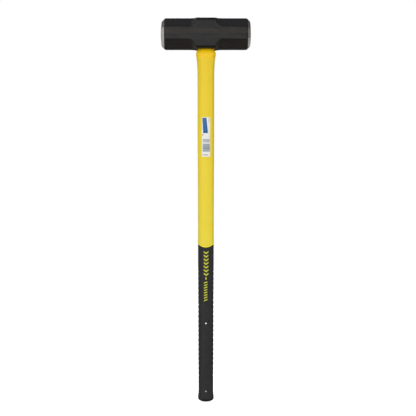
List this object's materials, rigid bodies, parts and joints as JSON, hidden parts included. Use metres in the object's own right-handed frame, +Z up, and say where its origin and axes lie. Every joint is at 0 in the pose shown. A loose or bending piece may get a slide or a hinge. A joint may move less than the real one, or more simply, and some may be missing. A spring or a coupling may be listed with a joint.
{
  "type": "sledgehammer",
  "caption": "Long-handled sledgehammer: octagonal steel head with crowned striking faces, potted on an oval jacketed fibreglass shaft with a ribbed rubber grip.",
  "frame": {"origin": "middle of the butt end of the shaft, at its lowest point", "axes": "+Z up along the shaft towards the head, X along the head from face to face, -Y is the labelled side"},
  "size_m": [0.212, 0.072, 0.9015],
  "materials": {
    "head_lacquer": "satin black lacquer over forged steel, bare ground steel at both striking faces",
    "fibreglass": "pultruded glass-fibre rod, off-white",
    "yellow_jacket": "moulded polypropylene, satin",
    "grip_rubber": "matte moulded rubber, fine stipple",
    "grip_print": "thin stamped print",
    "seal_rubber": "soft matte rubber",
    "potting_epoxy": "cast resin",
    "label_paper": "printed adhesive label"
  },
  "bodies": {
    "root": {"hammer_head": "head_lacquer", "shaft_core": "fibreglass", "shaft_jacket": "yellow_jacket", "grip_sleeve": "grip_rubber", "eye_seal_ring": "seal_rubber", "eye_epoxy": "potting_epoxy", "product_label": "label_paper"}
  },
  "joints": []
}
